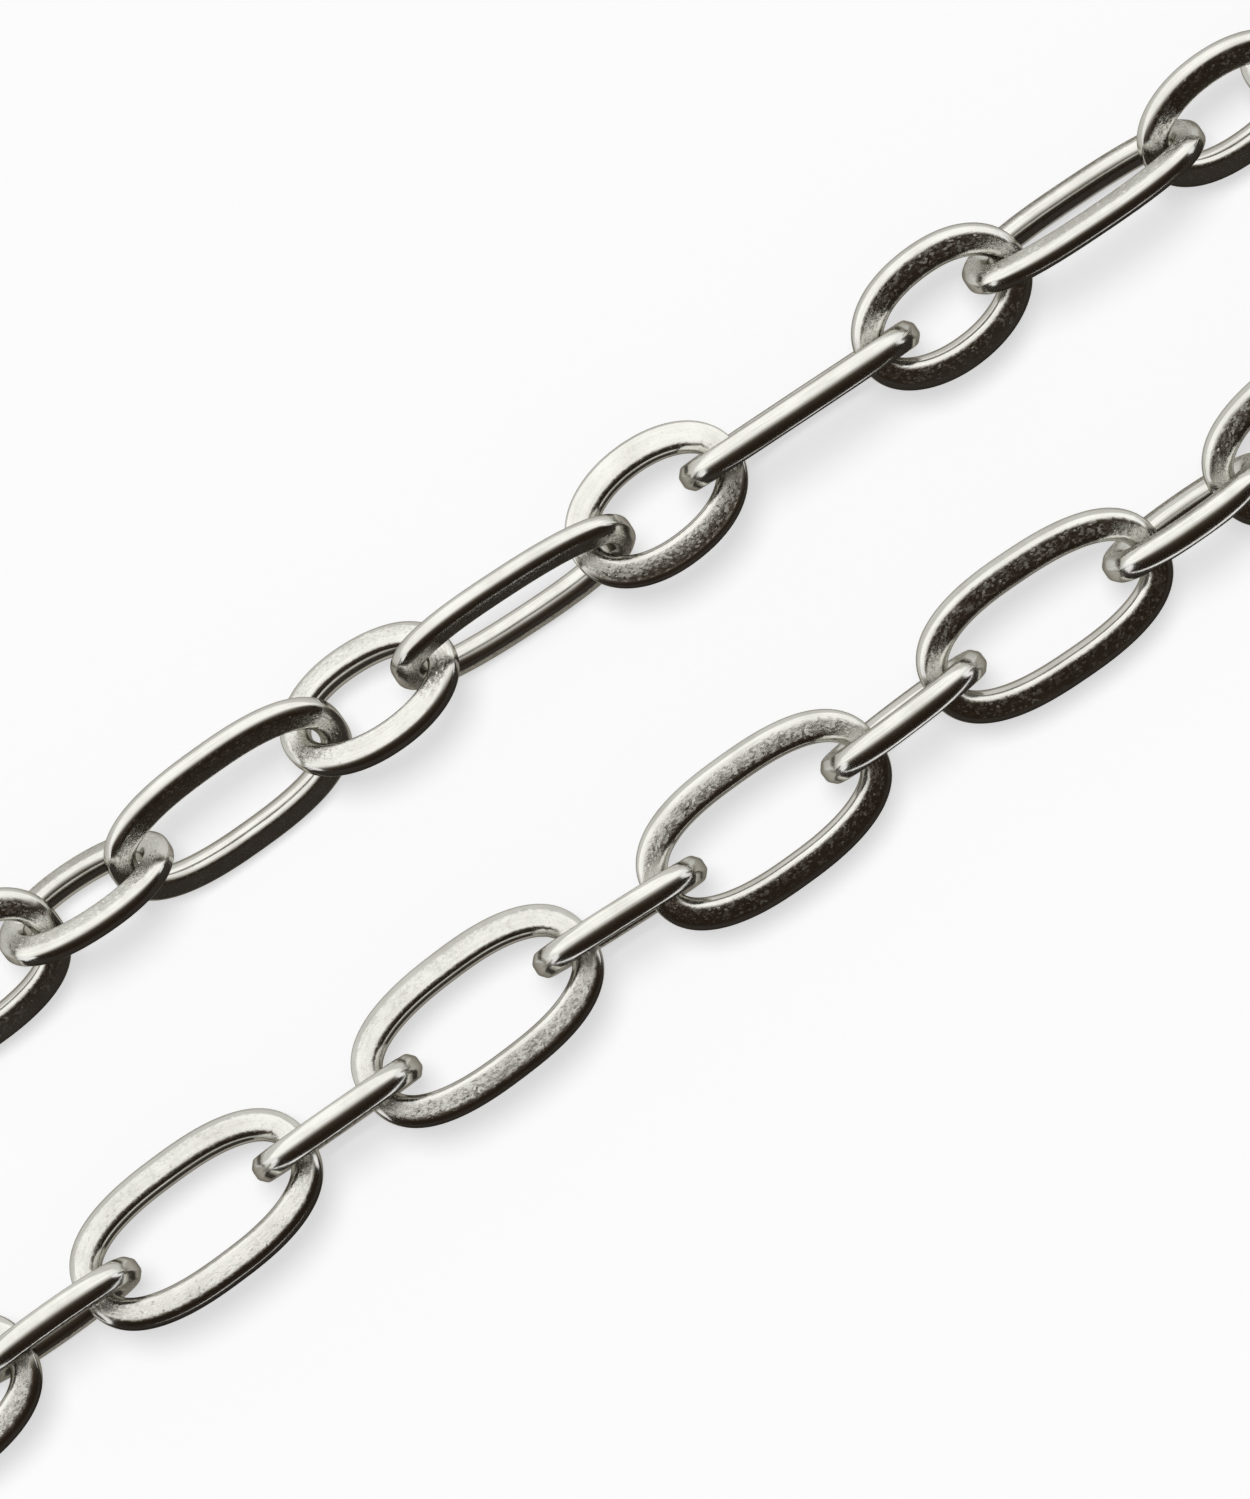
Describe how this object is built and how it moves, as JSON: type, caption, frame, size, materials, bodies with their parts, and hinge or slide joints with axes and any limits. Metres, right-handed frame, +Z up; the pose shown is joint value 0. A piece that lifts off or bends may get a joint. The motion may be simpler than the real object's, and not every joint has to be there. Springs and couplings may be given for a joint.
{
  "type": "alternating link chain",
  "caption": "Plated metal chain of flattened oval wire links, long and short in turn, laid as a hairpin with open end links; every link hinges on its neighbour.",
  "frame": {"origin": "middle of the footprint, on the floor plane under the chain", "axes": "+X along the two runs towards the turn, +Y towards the run whose links are numbered from 1, +Z up"},
  "size_m": [0.1652, 0.0352, 0.0106],
  "materials": {
    "plated_metal": "bright nickel-toned plating, polished round edges, flat faces finely pitted and scratched"
  },
  "bodies": {
    "long_link_01": {"long_link_01": "plated_metal"},
    "short_link_02": {"short_link_02": "plated_metal"},
    "long_link_03": {"long_link_03": "plated_metal"},
    "short_link_04": {"short_link_04": "plated_metal"},
    "long_link_05": {"long_link_05": "plated_metal"},
    "short_link_06": {"short_link_06": "plated_metal"},
    "long_link_07": {"long_link_07": "plated_metal"},
    "short_link_08": {"short_link_08": "plated_metal"},
    "long_link_09": {"long_link_09": "plated_metal"},
    "short_link_10": {"short_link_10": "plated_metal"},
    "long_link_11": {"long_link_11": "plated_metal"},
    "short_link_12": {"short_link_12": "plated_metal"},
    "long_link_13": {"long_link_13": "plated_metal"},
    "short_link_14": {"short_link_14": "plated_metal"},
    "long_link_15": {"long_link_15": "plated_metal"},
    "short_link_16": {"short_link_16": "plated_metal"},
    "long_link_17": {"long_link_17": "plated_metal"},
    "short_link_18": {"short_link_18": "plated_metal"},
    "long_link_19": {"long_link_19": "plated_metal"},
    "short_link_20": {"short_link_20": "plated_metal"},
    "long_link_21": {"long_link_21": "plated_metal"},
    "short_link_22": {"short_link_22": "plated_metal"},
    "long_link_23": {"long_link_23": "plated_metal"},
    "short_link_24": {"short_link_24": "plated_metal"},
    "long_link_25": {"long_link_25": "plated_metal"},
    "short_link_26": {"short_link_26": "plated_metal"},
    "long_link_27": {"long_link_27": "plated_metal"}
  },
  "joints": [
    {"name": "link_01_on_link_02", "type": "hinge", "parent": "short_link_02", "child": "long_link_01", "pos_m": [-0.04971, 0.01226, 0.00428], "axis": [-0.0217, -0.4996, 0.866], "range_deg": [-90, 90]},
    {"name": "link_02_on_link_03", "type": "hinge", "parent": "long_link_03", "child": "short_link_02", "pos_m": [-0.04092, 0.01194, 0.00432], "axis": [0.0095, 0.7194, 0.6946], "range_deg": [-90, 90]},
    {"name": "link_03_on_link_04", "type": "hinge", "parent": "short_link_04", "child": "long_link_03", "pos_m": [-0.02671, 0.01217, 0.00388], "axis": [0.0906, 0.8164, -0.5704], "range_deg": [-90, 90]},
    {"name": "link_04_on_link_05", "type": "hinge", "parent": "long_link_05", "child": "short_link_04", "pos_m": [-0.01797, 0.012, 0.00502], "axis": [-0.011, -0.3582, -0.9336], "range_deg": [-20, 90]},
    {"name": "link_05_on_link_06", "type": "hinge", "parent": "short_link_06", "child": "long_link_05", "pos_m": [-0.00378, 0.01127, 0.00513], "axis": [0.026, -0.9778, 0.2079], "range_deg": [-90, 90]},
    {"name": "link_06_on_link_07", "type": "hinge", "parent": "long_link_07", "child": "short_link_06", "pos_m": [0.00501, 0.01154, 0.00529], "axis": [-0.0015, -0.0349, 0.9994], "range_deg": [-90, 10]},
    {"name": "link_07_on_link_08", "type": "hinge", "parent": "short_link_08", "child": "long_link_07", "pos_m": [0.0192, 0.01092, 0.00529], "axis": [-0.0366, 0.9448, 0.3255], "range_deg": [-90, 42.5]},
    {"name": "link_08_on_link_09", "type": "hinge", "parent": "long_link_09", "child": "short_link_08", "pos_m": [0.02799, 0.01133, 0.00507], "axis": [0.0118, 0.3254, -0.9455], "range_deg": [-10, 90]},
    {"name": "link_09_on_link_10", "type": "hinge", "parent": "short_link_10", "child": "long_link_09", "pos_m": [0.0422, 0.0111, 0.00517], "axis": [-0.0739, -0.8084, -0.584], "range_deg": [-90, 40]},
    {"name": "link_10_on_link_11", "type": "hinge", "parent": "long_link_11", "child": "short_link_10", "pos_m": [0.05093, 0.01116, 0.00397], "axis": [-0.0268, -0.7544, 0.6558], "range_deg": [-90, 90]},
    {"name": "link_11_on_link_12", "type": "hinge", "parent": "short_link_12", "child": "long_link_11", "pos_m": [0.0652, 0.01142, 0.00485], "axis": [0.2346, 0.408, 0.8823], "range_deg": [-45, 5]},
    {"name": "link_12_on_link_13", "type": "hinge", "parent": "long_link_13", "child": "short_link_12", "pos_m": [0.07458, 0.00873, 0.0036], "axis": [-0.9337, -0.2291, 0.275], "range_deg": [-60, 10]},
    {"name": "link_13_on_link_14", "type": "hinge", "parent": "short_link_14", "child": "long_link_13", "pos_m": [0.07846, -0.00498, 0.00534], "axis": [-0.1338, 0.2278, -0.9645], "range_deg": [-2.5, 90]},
    {"name": "link_15_on_link_14", "type": "hinge", "parent": "short_link_14", "child": "long_link_15", "pos_m": [0.07008, -0.01253, 0.00473], "axis": [-0.1338, 0.2278, -0.9645], "range_deg": [-90, 2.5]},
    {"name": "link_16_on_link_15", "type": "hinge", "parent": "long_link_15", "child": "short_link_16", "pos_m": [0.05587, -0.01199, 0.00478], "axis": [0.038, 0.9895, 0.1391], "range_deg": [-90, 90]},
    {"name": "link_17_on_link_16", "type": "hinge", "parent": "short_link_16", "child": "long_link_17", "pos_m": [0.0474, -0.00935, 0.00478], "axis": [-0.0518, -0.166, 0.9848], "range_deg": [-5, 90]},
    {"name": "link_18_on_link_17", "type": "hinge", "parent": "long_link_17", "child": "short_link_18", "pos_m": [0.03321, -0.00976, 0.00477], "axis": [0.0276, -0.9609, -0.2756], "range_deg": [-90, 90]},
    {"name": "link_19_on_link_18", "type": "hinge", "parent": "short_link_18", "child": "long_link_19", "pos_m": [0.0244, -0.00961, 0.00477], "axis": [0.0031, 0.1908, -0.9816], "range_deg": [-90, 7.5]},
    {"name": "link_20_on_link_19", "type": "hinge", "parent": "long_link_19", "child": "short_link_20", "pos_m": [0.01021, -0.00927, 0.0048], "axis": [0.0238, 0.9508, 0.309], "range_deg": [-90, 90]},
    {"name": "link_21_on_link_20", "type": "hinge", "parent": "short_link_20", "child": "long_link_21", "pos_m": [0.00141, -0.00968, 0.0048], "axis": [0.0033, -0.0697, 0.9976], "range_deg": [-10, 90]},
    {"name": "link_22_on_link_21", "type": "hinge", "parent": "long_link_21", "child": "short_link_22", "pos_m": [-0.01279, -0.00975, 0.0048], "axis": [0.0051, -0.9848, -0.1736], "range_deg": [-90, 90]},
    {"name": "link_23_on_link_22", "type": "hinge", "parent": "short_link_22", "child": "long_link_23", "pos_m": [-0.02157, -0.00913, 0.0048], "axis": [-0.0037, -0.0522, -0.9986], "range_deg": [-90, 15]},
    {"name": "link_24_on_link_23", "type": "hinge", "parent": "long_link_23", "child": "short_link_24", "pos_m": [-0.03576, -0.00958, 0.00479], "axis": [-0.0306, 0.9698, -0.2419], "range_deg": [-90, 90]},
    {"name": "link_25_on_link_24", "type": "hinge", "parent": "short_link_24", "child": "long_link_25", "pos_m": [-0.04456, -0.0094, 0.00479], "axis": [0.0007, 0.0349, 0.9994], "range_deg": [-30, 90]},
    {"name": "link_26_on_link_25", "type": "hinge", "parent": "long_link_25", "child": "short_link_26", "pos_m": [-0.05876, -0.0097, 0.00479], "axis": [0.0201, -0.9561, 0.2924], "range_deg": [-90, 90]},
    {"name": "link_27_on_link_26", "type": "hinge", "parent": "short_link_26", "child": "long_link_27", "pos_m": [-0.06756, -0.00965, 0.00479], "axis": [-0.0008, -0.1392, -0.9903], "range_deg": [-90, 90]}
  ]
}
